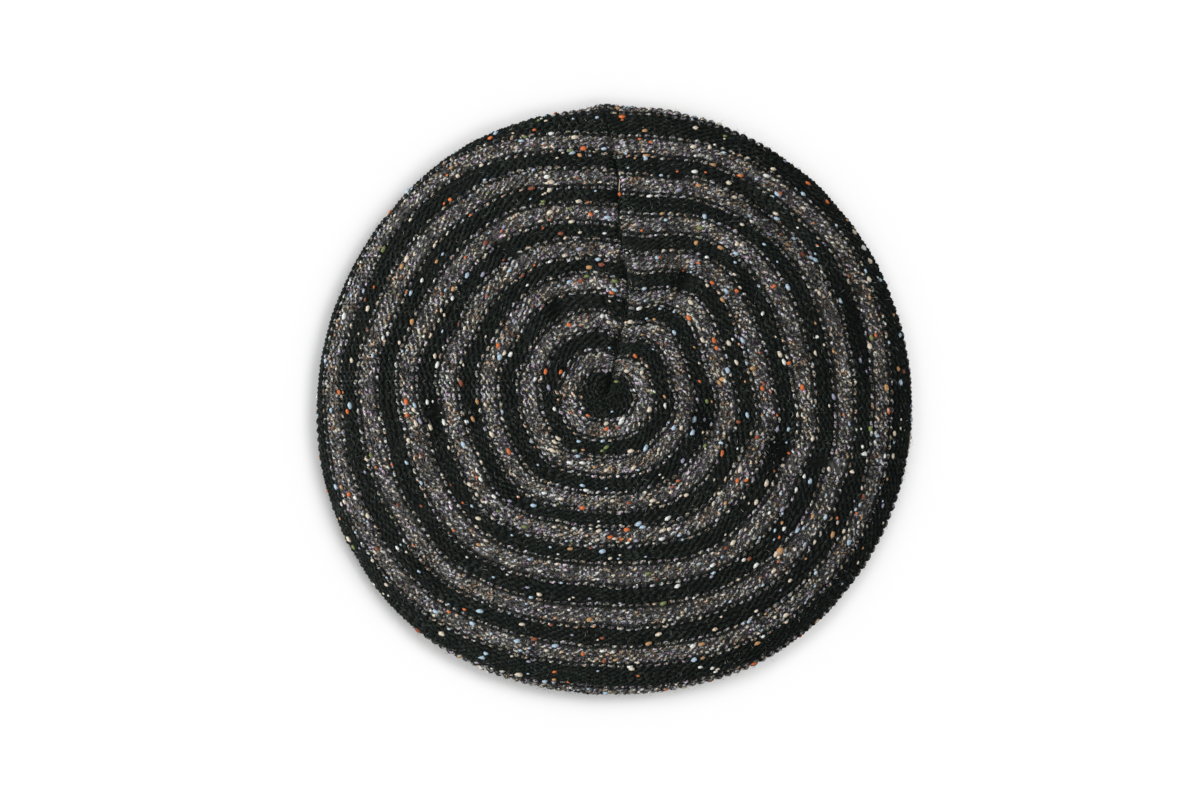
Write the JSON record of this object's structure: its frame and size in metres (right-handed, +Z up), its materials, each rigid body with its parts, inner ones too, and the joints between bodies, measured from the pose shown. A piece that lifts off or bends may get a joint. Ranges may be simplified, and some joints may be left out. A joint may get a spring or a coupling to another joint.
{
  "type": "knitted slouch beret",
  "caption": "Round knitted beret laid flat: a soft striped tweed crown that folds under at its edge, on a short ribbed band round the head opening.",
  "frame": {"origin": "centre of the beret's plan box, on the surface that it rests on", "axes": "+Z up out of the crown's top panel, +Y towards the back seam, so -Y is the front, and +X to the right as seen from the front"},
  "size_m": [0.281, 0.2774, 0.034],
  "materials": {
    "tweed_knit": "matt knitted wool in grey and charcoal stripes with coloured flecks",
    "band_knit": "matt ribbed wool, charcoal"
  },
  "bodies": {
    "root": {"crown": "tweed_knit", "band": "band_knit"}
  },
  "joints": []
}
